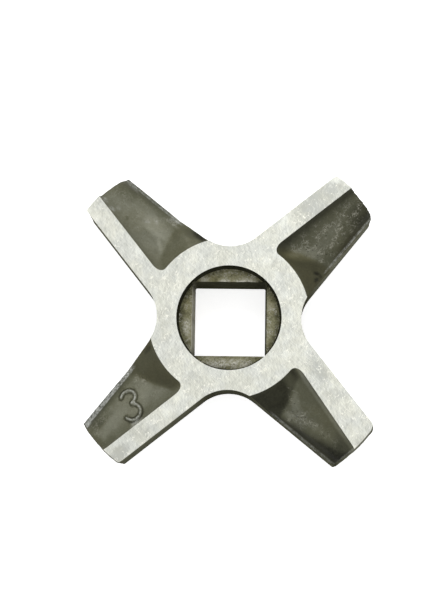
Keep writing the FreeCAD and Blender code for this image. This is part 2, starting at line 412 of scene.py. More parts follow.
@dataclass(frozen=True)
class CastGrain(Effect):
    """The grain of a cast and tumbled skin: mottling, pits, and small rubbed spots on its high points.

    Attributes:
        broad: The broad places of its mottling.
        fine: The fine ones.
        warmth: The pattern of its warmer places.
        warm_span: Where the warmth starts and is full in its pattern.
        lumps: The pattern of its lumps.
        chip_span: Where wear starts and is full on a lump.
        rubbed: The pattern of its rubbed places.
        rubbed_span: Where they start and are full in their pattern.
        crests: The pattern whose winding lines are the crests that are rubbed there.
        crest_width: How far from its middle value a crest ends.
        pits_per_mm: How many pits there are in a millimetre.
        pit_span: Where a pit's rim and its deepest part lie.
        pit_depth: How deep a pit is beside the lumps' height.
        least_relief: How high the lumps are where there is no grit.
    """

    name: str = "cast_grain"
    inputs: tuple[tuple[str, float], ...] = (("Grit", 0.5),)
    outputs: tuple[str, ...] = ("Mottle", "Warmth", "Rubbed", "Pits", "Chips", "Height")
    broad: Pattern = Pattern(0.38, 4.0, 0.6)
    fine: Pattern = Pattern(3.6, 4.0, 0.7)
    warmth: Pattern = Pattern(0.3, 2.0, 0.5, 30.0, 1.6)
    warm_span: Pair = (0.35, 0.65)
    lumps: Pattern = Pattern(3.4, 3.0, 0.7)
    chip_span: Pair = (0.42, 0.60)
    rubbed: Pattern = Pattern(1.1, 3.0, 0.6)
    rubbed_span: Pair = (0.44, 0.64)
    crests: Pattern = Pattern(2.5, 3.0, 0.6)
    crest_width: float = 0.06
    pits_per_mm: float = 1.7
    pit_span: Pair = (0.26, 0.06)
    pit_depth: float = 0.5
    least_relief: float = 0.25

    def wire(self, graph: Graph, given: Node, result: Node) -> None:
        """Build the mottling, pits and rubbed spots from one set of coordinates.

        Args:
            graph: The group's graph.
            given: The group's input node.
            result: The group's output node.
        """
        place = graph.add("ShaderNodeTexCoord").outputs["Object"]
        grit = given.outputs["Grit"]
        both = graph.math("ADD", self.broad.value(graph, place), self.fine.value(graph, place))
        mottle = graph.math("SUBTRACT", graph.math("MULTIPLY", both, 0.5), NOISE_MIDDLE)
        warmth = graph.span(self.warmth.value(graph, place), *self.warm_span)
        lumps = self.lumps.value(graph, place)
        patchy = graph.span(self.rubbed.value(graph, place), *self.rubbed_span)
        crests = graph.math("MULTIPLY", self.crests.winding(graph, place, self.crest_width), patchy)
        holes = graph.span(graph.cells(place, self.pits_per_mm), *self.pit_span)
        pits = graph.math("MULTIPLY", holes, grit, clamp=True)
        relief = graph.math("ADD", grit, self.least_relief)
        rise = graph.math("MULTIPLY", graph.math("SUBTRACT", lumps, NOISE_MIDDLE), relief)
        height = graph.math("SUBTRACT", rise, graph.math("MULTIPLY", pits, self.pit_depth))
        graph.feed(result.inputs["Mottle"], mottle)
        graph.feed(result.inputs["Warmth"], warmth)
        graph.feed(result.inputs["Chips"], graph.span(lumps, *self.chip_span))
        graph.feed(result.inputs["Rubbed"], graph.math("MULTIPLY", crests, grit, clamp=True))
        graph.feed(result.inputs["Pits"], pits)
        graph.feed(result.inputs["Height"], height)


@dataclass(frozen=True)
class Finish:
    """A finish of the casting.

    Attributes:
        name: The material's name.
    """

    name: str

    def dress(self, graph: Graph, shader: Node) -> None:
        """Wire the finish into its shader.

        Args:
            graph: The material's graph.
            shader: The Principled BSDF.
        """
        raise NotImplementedError

    def material(self) -> bpy.types.Material:
        """Make the finish's material.

        Returns:
            The material.
        """
        material = bpy.data.materials.new(self.name)
        material.use_nodes = True
        graph = Graph(material.node_tree)
        self.dress(graph, graph.find("BSDF_PRINCIPLED"))
        return material

    @staticmethod
    def bump(graph: Graph, shader: Node, height: Socket, depth_mm: float) -> None:
        """Raise the surface by a height pattern.

        Args:
            graph: The material's graph.
            shader: The shader whose normal is bent.
            height: The pattern.
            depth_mm: How far a height of 1 rises, in millimetres.
        """
        node = graph.add("ShaderNodeBump")
        node.inputs["Strength"].default_value = 1.0
        node.inputs["Distance"].default_value = depth_mm * MM
        graph.feed(node.inputs["Height"], height)
        graph.feed(shader.inputs["Normal"], node.outputs["Normal"])


@dataclass(frozen=True)
class GroundSteel(Finish):
    """Bright steel, ground flat, with fine crossing scratches. Each point carries how light it is there.

    Attributes:
        light: The steel's colour between scratches.
        dark: Its colour in the deepest scratches.
        warm: Tint of its warmer places.
        glint: Its colour on the painted glints along rare scratches.
        streaks: How strongly the scratches show.
        clouds: How strongly the broad lighter and darker places show.
        contrast: How far all of that moves the colour.
        glints: How strongly the painted glints show.
        roughness: How matt it is.
        unevenness: How much the scratches change how matt it is.
        scratch_depth: The depth of the scratches, in millimetres.
    """

    name: str = "ground_steel"
    light: Colour = (0.800, 0.813, 0.750, 1.0)
    dark: Colour = (0.480, 0.491, 0.455, 1.0)
    warm: Colour = (1.01, 1.0, 0.965, 1.0)
    glint: Colour = (0.95, 0.94, 0.85, 1.0)
    streaks: float = 1.3
    clouds: float = 1.1
    contrast: float = 0.72
    glints: float = 0.8
    roughness: float = 0.46
    unevenness: float = -0.25
    scratch_depth: float = 0.012

    def dress(self, graph: Graph, shader: Node) -> None:
        """Colour the steel by its scratches and clouds.

        Args:
            graph: The material's graph.
            shader: The Principled BSDF.
        """
        marks = GrindingMarks().place(graph)
        scratches = marks.outputs["Streaks"]
        clouds = graph.math("MULTIPLY", marks.outputs["Clouds"], self.clouds)
        level = graph.math("ADD", graph.math("MULTIPLY", scratches, self.streaks), clouds)
        level = graph.math("ADD", level, graph.attribute("land"))
        tone = graph.math("ADD", graph.math("MULTIPLY", level, self.contrast), 0.5, clamp=True)
        colour = graph.mix(tone, self.dark, self.light)
        colour = graph.mix(marks.outputs["Tint"], colour, self.warm, "MULTIPLY")
        # Painted glints on rare scratches.
        colour = graph.mix(graph.math("MULTIPLY", marks.outputs["Glints"], self.glints), colour, self.glint)
        graph.feed(shader.inputs["Base Color"], colour)
        shader.inputs["Metallic"].default_value = 1.0
        rough = graph.math("MULTIPLY", scratches, self.unevenness)
        graph.feed(shader.inputs["Roughness"], graph.math("ADD", rough, self.roughness, clamp=True))
        self.bump(graph, shader, scratches, self.scratch_depth)


@dataclass(frozen=True)
class CastSkin(Finish):
    """The dark skin of the casting, lighter where it has been rubbed and where light is painted onto it.

    Attributes:
        deep: Colour at a tone of -1.
        middle: Colour at a tone of 0.
        pale: Colour at a tone of 1.
        rubbed: Colour of bare steel on its high points.
        worn: Colour of its worn edges, which also carries the painted highlights on the lips, their rims and
            the number's crest.
        brown: Tint of the browner places.
        bias: How much lighter or darker than usual it is as a whole.
        grit: How rough and pitted it is, on top of what each point carries.
        mottle: How strong its mottling is.
        wear: How much of the wear that each point carries shows, painted highlights on the lips, their rims
            and the number's crest included.
        roughness: How matt it is.
        metallic: How much of it is bare metal.
        sheen: The strength of its reflections.
        warmth: How brown its warmer places are.
        rubbing: How strongly its rubbed spots show.
        pitting: How strongly its pits show.
        unbroken: How much of the wear reaches between the lumps.
        edge_span: Where a lip's worn, highlighted line starts and is full, in half widths.
        baring: How much metal its wear bares.
        unevenness: How much its mottling changes how matt it is.
        relief: The height of its grain, in millimetres.
    """

    name: str = "cast_skin"
    deep: Colour = (0.006, 0.006, 0.002, 1.0)
    middle: Colour = (0.101, 0.102, 0.067, 1.0)
    pale: Colour = (0.285, 0.288, 0.228, 1.0)
    rubbed: Colour = (0.41, 0.40, 0.33, 1.0)
    worn: Colour = (0.46, 0.47, 0.44, 1.0)
    brown: Colour = (1.03, 0.95, 0.70, 1.0)
    bias: float = 0.0
    grit: float = 0.0
    mottle: float = 1.0
    wear: float = 1.0
    roughness: float = 0.55
    metallic: float = 0.2
    sheen: float = 0.12
    warmth: float = 0.15
    rubbing: float = 0.65
    pitting: float = 0.5
    unbroken: float = 0.25
    edge_span: Pair = (1.3, 0.7)
    baring: float = 0.5
    unevenness: float = 0.35
    relief: float = 0.09

    def dress(self, graph: Graph, shader: Node) -> None:
        """Colour the skin by its grain and by the tone, grit and wear that each point carries.

        Args:
            graph: The material's graph.
            shader: The Principled BSDF.
        """
        grit = graph.math("ADD", graph.attribute("grit"), self.grit, clamp=True)
        grain = CastGrain().place(graph, Grit=grit).outputs
        # The tone that each point carries holds much of the painted light and shade of the hollows, walls,
        # square hole and recess floor.
        level = graph.math("ADD", graph.attribute("tone"), self.bias)
        level = graph.math("ADD", level, graph.math("MULTIPLY", grain["Mottle"], self.mottle))
        skin = graph.mix(graph.math("ADD", level, 1.0, clamp=True), self.deep, self.middle)
        skin = graph.mix(graph.math("ADD", level, 0.0, clamp=True), skin, self.pale)
        warmth = graph.math("MULTIPLY", grain["Warmth"], self.warmth)
        warmth = graph.math("ADD", warmth, graph.attribute("brown"), clamp=True)
        skin = graph.mix(warmth, skin, self.brown, "MULTIPLY")
        skin = graph.mix(graph.math("MULTIPLY", grain["Rubbed"], self.rubbing), skin, self.rubbed)
        skin = graph.mix(graph.math("MULTIPLY", grain["Pits"], self.pitting), skin, self.deep)
        worn = self.worn_share(graph, grain["Chips"])
        graph.feed(shader.inputs["Base Color"], graph.mix(worn, skin, self.worn))
        bare = graph.math("MULTIPLY", worn, self.baring)
        graph.feed(shader.inputs["Metallic"], graph.math("ADD", bare, self.metallic, clamp=True))
        rough = graph.math("MULTIPLY", grain["Mottle"], self.unevenness)
        graph.feed(shader.inputs["Roughness"], graph.math("ADD", rough, self.roughness, clamp=True))
        shader.inputs["Specular IOR Level"].default_value = self.sheen
        self.bump(graph, shader, grain["Height"], self.relief)

    def worn_share(self, graph: Graph, chips: Socket) -> Socket:
        """Join the lips' worn, highlighted edges with the wear and painted highlights of each point, broken
        up by the lumps.

        Args:
            graph: The material's graph.
            chips: The pattern of the lumps' tops.

        Returns:
            How much bare metal shows, from 0 to 1.
        """
        broken = graph.math("ADD", graph.math("MULTIPLY", chips, 1.0 - self.unbroken), self.unbroken)
        line = graph.math("ABSOLUTE", graph.attribute("edge"))
        edge = graph.math("MULTIPLY", graph.span(line, *self.edge_span), graph.attribute("lip"))
        wear = graph.math("MULTIPLY", graph.math("ADD", edge, graph.attribute("wear")), self.wear)
        return graph.math("MULTIPLY", wear, broken, clamp=True)


@dataclass(frozen=True)
class Arm:
    """One arm's own frame, in millimetres: along it from the axis, and across it towards its cutting side.

    Attributes:
        corner: Which arm it is.
        first: The first arm's direction, in degrees.
        hub_width: The arms' width at the axis.
        tip_width: The arms' width at the tips.
        reach: How far along the arm its tip corners lie.
        draft: How much a wall leans in for each millimetre of height.
        thickness: The height of the cutting face.
        ring_radius: The outer radius of the ground ring.
        land: The land's width at the ring and at the tip.
    """

    corner: Corner
    first: float = 45.0
    hub_width: float = 12.5
    tip_width: float = 7.3
    reach: float = 23.215
    draft: float = 0.01746
    thickness: float = 7.4
    ring_radius: float = 10.4
    land: Pair = (2.5, 2.5)

    def turn(self) -> float:
        """The arm's direction, in radians."""
        return math.radians(self.first + 90.0 * self.corner.value)

    def local(self, point: Vector) -> Triple:
        """Find a point's place in the arm's frame.

        Args:
            point: A point, in metres.

        Returns:
            Its distance along the arm, across it and up, in millimetres.
        """
        cosine, sine = math.cos(self.turn()), math.sin(self.turn())
        along = (point.x * cosine + point.y * sine) / MM
        across = (point.y * cosine - point.x * sine) / MM
        return along, across, point.z / MM

    def inward(self, along: float, across: float, height: float) -> float:
        """Measure how far a point is from the arm's trailing wall, in millimetres."""
        return across + self.half(along) - self.draft * height

    def half(self, along: float) -> float:
        """Work out half of the arm's width at its back, in millimetres."""
        return self.hub_width / 2 - (self.hub_width - self.tip_width) / 2 * along / self.reach

    def landward(self, along: float, across: float) -> float:
        """Measure how far a point of the hollow is from the land's inner edge.

        Args:
            along: Millimetres along the arm.
            across: Millimetres across it.

        Returns:
            The distance, in millimetres.
        """
        hub, tip = self.land
        width = hub + (tip - hub) * (along - self.ring_radius) / (self.reach - self.ring_radius)
        return self.half(along) - self.draft * self.thickness - width - across


@dataclass(frozen=True)
class Patch:
    """A mark on one arm that fades out from its middle.

    Attributes:
        along: Its middle, in millimetres along the arm.
        across: Its middle, in millimetres across the arm.
        length: Its half length along the arm, in millimetres.
        width: Its half width across the arm, in millimetres.
        lean: How far it is turned from the arm's direction, in degrees.
        tone: How much lighter it makes the skin, or darker where negative; on the hollows, the outer walls
            and the square hole this is mostly painted light and shade.
        grit: How much rougher it makes the skin.
        brown: How much browner it makes the skin.
        wear: How much bare metal it shows.
    """

    along: float
    across: float
    length: float
    width: float
    lean: float = 0.0
    tone: float = 0.0
    grit: float = 0.0
    brown: float = 0.0
    wear: float = 0.0

    def share(self, along: float, across: float) -> float:
        """Work out how strong the patch is at a place.

        Args:
            along: Millimetres along the arm.
            across: Millimetres across it.

        Returns:
            A share from 0 to 1.
        """
        cosine, sine = math.cos(math.radians(self.lean)), math.sin(math.radians(self.lean))
        ahead, aside = along - self.along, across - self.across
        lengthwise = (ahead * cosine + aside * sine) / self.length
        sideways = (aside * cosine - ahead * sine) / self.width
        return smoothstep(1.0, 0.25, math.hypot(lengthwise, sideways))


@dataclass(frozen=True)
class Fades:
    """Where the tones of a hollow set in and where they are full.

    Attributes:
        flank: The hub's flank, by how far the skin faces away from the axis.
        fall: The fall to the lip, by how far the skin faces up.
        fall_from_land: The fall again, in millimetres from the land.
        foot: The foot of the land, in millimetres from it.
        step: The step down from the land, in millimetres from it.
        gutter: The gutter inside the lip, in millimetres from the wall.
        grit_from_land: The ramp's roughness, in millimetres from the land.
        grit_from_wall: The ramp's roughness, in millimetres from the wall.
        rim: The rim outside the lip's worn, highlighted line, in millimetres inward from that line's middle.
        rim_wear: How much bare metal a rim's tone of 1 shows.
    """

    flank: Pair = (0.12, 0.5)
    fall: Pair = (0.86, 0.7)
    fall_from_land: Pair = (0.6, 1.0)
    foot: Pair = (1.6, 0.3)
    step: Pair = (0.7, 0.3)
    gutter: Pair = (1.5, 0.7)
    grit_from_land: Pair = (0.4, 1.8)
    grit_from_wall: Pair = (0.6, 1.6)
    rim: Pair = (0.2, -0.1)
    rim_wear: float = 0.3


@dataclass(frozen=True)
class ArmSkinAndShading:
    """How the skin of one arm's hollow looks. A tone of 0 is the usual one, and a lower one is darker.

    Attributes:
        ramp: Tone of the ramp, partly painted light that differs with the way the arm faces.
        foot: Painted shade added along the foot of the land.
        step: Painted light added on the step down from the land.
        fall: Painted shade added on the fall to the lip.
        gutter: Painted shade added in the gutter inside the lip.
        flank: Tone of the hub's flank: painted shade, with some staining.
        brown: How brown the flank is.
        grit: How rough the ramp is.
        rim: Painted light added outside the lip's worn line, with a little wear.
        lip: How much the lip shows worn metal with a painted highlight along it.
        lip_line: How far that worn, highlighted line lies from the wall at its two ends, in millimetres.
        lip_width: Half the width of that line, in millimetres.
        lip_span: Where that line starts and ends, in millimetres along the arm.
        lip_fade: Half the length over which that line starts and ends, in millimetres.
    """

    ramp: float
    foot: float
    step: float
    fall: float
    gutter: float
    flank: float
    brown: float
    grit: float
    rim: float
    lip: float
    lip_line: Pair
    lip_width: float
    lip_span: Pair
    lip_fade: Pair = (0.6, 0.3)

    def line(self, along: float) -> float:
        """Find how far the lip's wear lies from the wall, in millimetres."""
        first, last = self.lip_line
        return first + (last - first) * smoothstep(*self.lip_span, along)

    def spread(self, along: float) -> float:
        """Work out how much of the lip's wear there is at a place along the arm.

        Args:
            along: Millimetres along the arm.

        Returns:
            A share from 0 to 1.
        """
        (start, end), (early, late) = self.lip_span, self.lip_fade
        return smoothstep(start - early, start + early, along) * smoothstep(end + late, end - late, along)


# Each arm's hollow with its painted light and shade: the tones follow how each facet faces the lamps, beside
# the arm's grit, browning and worn lip.
ARM_SKINS_AND_SHADING: dict[Corner, ArmSkinAndShading] = {
    Corner.UPPER_RIGHT: ArmSkinAndShading(
        ramp=0.03, foot=-0.62, step=0.0, fall=-0.30, gutter=-0.32, flank=-0.47, brown=0.6, grit=1.0,
        rim=0.46, lip=0.50, lip_line=(0.40, 0.28), lip_width=0.11, lip_span=(13.4, 22.9),
    ),
    Corner.UPPER_LEFT: ArmSkinAndShading(
        ramp=0.30, foot=-0.14, step=0.0, fall=-0.20, gutter=-0.36, flank=0.02, brown=0.15, grit=0.32,
        rim=0.0, lip=0.5, lip_line=(0.16, 0.10), lip_width=0.26, lip_span=(13.6, 23.3),
    ),
    Corner.LOWER_LEFT: ArmSkinAndShading(
        ramp=0.26, foot=-0.18, step=0.0, fall=-0.30, gutter=-0.66, flank=-0.28, brown=0.35, grit=0.25,
        rim=0.0, lip=0.95, lip_line=(0.22, 0.30), lip_width=0.34, lip_span=(13.4, 23.3),
    ),
    Corner.LOWER_RIGHT: ArmSkinAndShading(
        ramp=-0.03, foot=-0.05, step=0.45, fall=-0.75, gutter=-0.10, flank=-0.75, brown=0.0, grit=0.15,
        rim=0.0, lip=0.30, lip_line=(0.14, 0.14), lip_width=0.20, lip_span=(12.6, 23.4),
    ),
}
# Marks by region and arm. Their tones on the hollows, the outer walls and the square hole are mostly painted
# light and shade; on the recess floor and the lands they make lighter and darker places. Their grit, brown
# and wear are the skin's own.
MARKS_AND_SHADING: dict[Region, dict[Corner, tuple[Patch, ...]]] = {
    Region.HOLLOW: {
        Corner.UPPER_LEFT: (
            Patch(15.6, -1.7, 3.4, 1.5, tone=0.30),
            Patch(21.6, -2.2, 2.6, 1.7, tone=-0.20),
            Patch(14.8, -4.0, 1.1, 0.32, 10.0, grit=0.4, wear=0.45),
            Patch(11.8, -4.2, 1.8, 0.8, tone=-0.3),
            Patch(11.0, -3.2, 1.6, 0.4, -20.0, tone=0.12),
            Patch(13.4, -0.3, 1.7, 0.45, -30.0, tone=0.28),
            Patch(10.4, -4.8, 2.0, 0.8, tone=-0.9),
            Patch(15.2, -1.0, 3.6, 0.5, 12.0, tone=0.16),
            Patch(16.8, -1.3, 0.6, 0.35, 40.0, wear=0.45),
            Patch(16.1, -2.2, 0.6, 0.35, -30.0, wear=0.45),
            Patch(22.6, 0.7, 0.6, 0.4, wear=0.5),
            Patch(21.1, 0.9, 0.7, 0.4, 10.0, wear=0.45),
            Patch(20.6, 0.2, 0.5, 0.3, wear=0.35),
            Patch(18.9, 0.3, 0.4, 0.3, tone=-0.3),
            Patch(14.6, -3.6, 1.6, 0.4, 6.0, tone=0.1, grit=0.6, wear=0.1),
            Patch(22.0, -3.3, 1.6, 0.35, wear=0.3, grit=0.5),
            Patch(19.0, -3.4, 2.6, 0.5, tone=-0.08),
        ),
        Corner.LOWER_LEFT: (
            Patch(14.3, -1.0, 1.9, 1.2, tone=0.20),
            Patch(19.7, -1.1, 3.0, 1.4, tone=0.12),
            Patch(17.9, 1.5, 1.3, 0.8, tone=0.25, grit=0.8, wear=0.5),
            Patch(13.6, -2.6, 1.2, 1.2, tone=0.10, grit=0.7),
            Patch(21.9, -2.0, 1.8, 1.1, tone=-0.24, grit=0.2),
            Patch(10.4, -4.4, 1.0, 0.5, tone=-0.35),
            Patch(22.9, 0.2, 0.7, 2.6, tone=-0.2, grit=0.4),
            Patch(22.8, -3.1, 0.9, 0.5, wear=0.8),
            Patch(16.0, 0.9, 2.6, 0.7, tone=-0.12),
            Patch(21.6, 0.6, 1.2, 1.0, tone=-0.15),
            Patch(20.6, -1.9, 2.4, 0.6, tone=-0.3),
        ),
        Corner.LOWER_RIGHT: (
            Patch(13.1, -1.2, 2.6, 0.9, -28.0, tone=0.35, grit=0.6),
            Patch(15.4, -2.5, 2.4, 1.5, tone=0.02, grit=1.0, wear=0.15),
            Patch(14.4, -3.3, 1.5, 0.8, tone=0.35, grit=0.6),
            Patch(18.4, -1.7, 3.2, 0.6, 10.0, tone=0.18, grit=0.9),
            Patch(19.6, -2.6, 2.4, 0.6, 5.0, tone=-0.2),
            Patch(22.2, -1.2, 2.6, 2.6, tone=-0.38),
            Patch(23.4, -1.2, 0.5, 3.4, tone=0.2, wear=0.3),
            Patch(17.5, -0.2, 2.6, 1.2, tone=0.05, brown=0.15),
            Patch(11.2, 0.0, 1.7, 1.1, tone=0.45),
        ),
        Corner.UPPER_RIGHT: (
            Patch(13.0, -0.9, 3.2, 1.3, -40.0, tone=0.42, brown=0.05),
            Patch(11.6, 0.3, 1.6, 0.8, -40.0, tone=0.28),
            Patch(16.4, -1.4, 3.4, 1.5, tone=0.14, grit=0.4),
            Patch(19.0, -1.0, 2.2, 1.0, tone=0.10, grit=0.4),
            Patch(22.0, -2.0, 2.6, 1.9, tone=-0.45),
            Patch(20.0, -2.5, 2.8, 0.9, 4.0, tone=-0.15),
            Patch(12.4, -3.7, 0.7, 0.35, -55.0, tone=-0.45),
            Patch(11.7, -4.3, 0.6, 0.35, 10.0, tone=-0.45),
            Patch(12.5, -4.3, 0.35, 0.3, tone=-0.3),
            Patch(18.5, -3.6, 4.0, 0.9, 6.0, tone=-0.25, brown=0.4),
        ),
    },
    Region.WALL: {
        Corner.UPPER_RIGHT: (
            Patch(17.5, -4.3, 9.0, 1.2, 6.4, tone=0.3),
        ),
        Corner.LOWER_RIGHT: (
            Patch(17.5, -4.3, 9.0, 1.4, 6.4, tone=-0.14),
            Patch(23.4, -0.4, 0.8, 4.6, tone=0.4),
        ),
    },
    Region.RECESS: {
        Corner.UPPER_LEFT: (
            Patch(5.9, -1.2, 1.1, 0.6, 20.0, tone=0.35, wear=0.55),
            Patch(5.5, -2.2, 1.3, 0.8, 45.0, tone=0.05, brown=0.3),
            Patch(4.9, -4.0, 1.3, 0.7, 45.0, tone=0.15, grit=0.3),
            Patch(5.3, 2.6, 1.6, 0.7, -45.0, tone=0.0, brown=0.3),
            Patch(3.9, -3.1, 1.2, 0.45, 45.0, wear=0.8),
        ),
        Corner.LOWER_LEFT: (
            Patch(4.7, -3.1, 1.6, 0.6, 45.0, tone=0.1, wear=0.6),
            Patch(6.2, 0.2, 1.2, 1.0, tone=0.2, grit=0.4),
            Patch(5.0, 3.2, 2.6, 0.9, -45.0, tone=0.1, grit=0.4, wear=0.6),
        ),
        Corner.LOWER_RIGHT: (
            Patch(5.0, -3.2, 2.6, 0.9, 45.0, tone=0.1, grit=0.4, wear=0.6),
            Patch(5.3, 2.4, 1.4, 0.7, -45.0, tone=0.25, grit=0.4),
        ),
        Corner.UPPER_RIGHT: (
            Patch(5.2, -2.6, 1.5, 0.7, 45.0, tone=0.2, grit=0.4, brown=0.25),
            Patch(5.4, 2.4, 1.6, 0.7, -45.0, tone=0.12, grit=0.5),
            Patch(4.9, 2.1, 2.2, 0.45, -45.0, wear=1.0),
            Patch(5.9, 1.6, 1.4, 0.8, -45.0, tone=0.2, grit=0.6),
        ),
    },
    Region.BORE: {
        Corner.UPPER_LEFT: (
            Patch(4.74, 1.91, 3.6, 1.2, -45.0, tone=1.3),
        ),
        Corner.LOWER_LEFT: (
            Patch(4.74, -1.91, 3.6, 1.2, 45.0, tone=1.3),
        ),
    },
    Region.GROUND: {
        Corner.UPPER_RIGHT: (
            Patch(18.9, 2.7, 5.0, 3.2, tone=-0.72),
            Patch(22.6, 1.4, 1.6, 1.6, tone=-0.2),
            Patch(22.9, 3.4, 1.2, 0.9, tone=0.6),
            Patch(13.8, 4.0, 1.2, 0.8, tone=0.4),
            Patch(8.7, 2.3, 1.3, 1.3, tone=0.25),
            Patch(8.7, -2.3, 1.2, 1.2, tone=-0.2),
        ),
        Corner.UPPER_LEFT: (
            Patch(18.6, 2.0, 4.0, 1.2, tone=0.1),
            Patch(22.0, 3.5, 1.8, 0.8, tone=0.35),
            Patch(14.0, 2.2, 1.4, 0.9, tone=0.35),
            Patch(8.7, -2.3, 1.2, 1.2, tone=0.25),
            Patch(22.8, 1.6, 1.0, 1.4, tone=-0.2),
        ),
        Corner.LOWER_LEFT: (
            Patch(14.0, 3.0, 1.4, 1.0, tone=0.4),
            Patch(18.6, 2.8, 2.4, 1.8, tone=-0.25),
            Patch(22.2, 2.75, 2.6, 1.2, tone=-0.85),
            Patch(11.5, 2.9, 1.3, 1.0, tone=0.55),
            Patch(8.7, 2.3, 1.3, 1.3, tone=-0.25),
        ),
        Corner.LOWER_RIGHT: (
            Patch(13.0, 3.4, 2.2, 1.5, tone=-0.8),
            Patch(11.3, 4.2, 1.2, 0.9, tone=-0.45),
            Patch(22.9, 0.9, 1.1, 1.1, tone=-0.50),
            Patch(16.6, 2.4, 1.8, 1.6, tone=-0.3),
            Patch(8.7, 2.3, 1.3, 1.3, tone=0.3),
        ),
    },
}


@dataclass(frozen=True)
class CastNumber:
    """A plain number that stands a little proud of one hollow's skin.

    Attributes:
        corner: The arm that it is on.
        along: Its middle, in millimetres along the arm.
        across: Its middle, in millimetres across the arm.
        lean: The direction of its top from the arm's own, in degrees.
        half_height: Half its height, in millimetres.
        half_width: Half the width of its line, in millimetres.
        rise: How far its line stands up, in millimetres.
        rise_span: Where it sets in and is full, in half widths from the line's middle, like the other spans.
        wear: How much bare metal its line shows, with a painted highlight along its crest.
        wear_span: Where that sets in and is full.
        outline_shade: Painted shade added round its line.
        outline_shade_span: Where that sets in and is full, from outside.
        clear_span: Where that sets in and is full, from the line's middle.
        margin: How far the finer net reaches beyond its line, in millimetres.
        gap: How far the finer net stays from the land, in millimetres.
        lowest: The height under which nothing is cut finer, in millimetres.
        cuts: How many new points the finer net has on each edge of the coarse one.
        line: The corners of its line, to the right and up, in half heights.
    """

    corner: Corner = Corner.LOWER_LEFT
    along: float = 16.9
    across: float = -0.85
    lean: float = -115.0
    half_height: float = 2.0
    half_width: float = 0.23
    rise: float = 0.16
    rise_span: Pair = (1.0, 0.2)
    wear: float = 0.75
    wear_span: Pair = (0.7, 0.2)
    outline_shade: float = -0.85
    outline_shade_span: Pair = (2.0, 1.3)
    clear_span: Pair = (0.6, 1.0)
    margin: float = 0.35
    gap: float = 0.2
    lowest: float = 3.0
    cuts: int = 3
    line: tuple[Pair, ...] = (
        (-0.48, 0.66), (-0.30, 0.90), (0.02, 1.0), (0.36, 0.88), (0.50, 0.58), (0.36, 0.26), (0.02, 0.10),
        (0.38, -0.04), (0.56, -0.38), (0.46, -0.74), (0.14, -0.97), (-0.22, -0.97), (-0.50, -0.70),
    )

    def points(self) -> list[Vector]:
        """Triple the line in the arm's frame, with its corners rounded off.

        Returns:
            The line's points, in millimetres along the arm and across it.
        """
        lean = math.radians(self.lean)
        up = Vector((math.cos(lean), math.sin(lean)))
        right = Vector((up.y, -up.x))
        middle = Vector((self.along, self.across))
        points = [middle + (right * east + up * north) * self.half_height for east, north in self.line]
        cut = [points[0]]
        for start, end in zip(points, points[1:]):
            cut += [start.lerp(end, 0.25), start.lerp(end, 0.75)]
        return [*cut, points[-1]]

    def distance(self, along: float, across: float) -> float:
        """Measure how far a place is from the number's line.

        Args:
            along: Millimetres along the arm.
            across: Millimetres across it.

        Returns:
            The distance, in millimetres.
        """
        place = Vector((along, across))
        corners = self.points()
        nearest = math.inf
        for start, end in zip(corners, corners[1:]):
            run = end - start
            share = min(1.0, max(0.0, (place - start).dot(run) / run.length_squared))
            nearest = min(nearest, (start + run * share - place).length)
        return nearest

    def look(self, along: float, across: float) -> Pair:
        """Work out what the number adds to the skin at a place.

        Args:
            along: Millimetres along the arm.
            across: Millimetres across it.

        Returns:
            The painted shade round its line, and the wear with a painted highlight on its crest.
        """
        far = self.distance(along, across) / self.half_width
        beside = smoothstep(*self.outline_shade_span, far) * smoothstep(*self.clear_span, far)
        return self.outline_shade * beside, self.wear * smoothstep(*self.wear_span, far)

    def height(self, along: float, across: float) -> float:
        """Work out how far the number stands up at a place, in millimetres."""
        return self.rise * smoothstep(*self.rise_span, self.distance(along, across) / self.half_width)


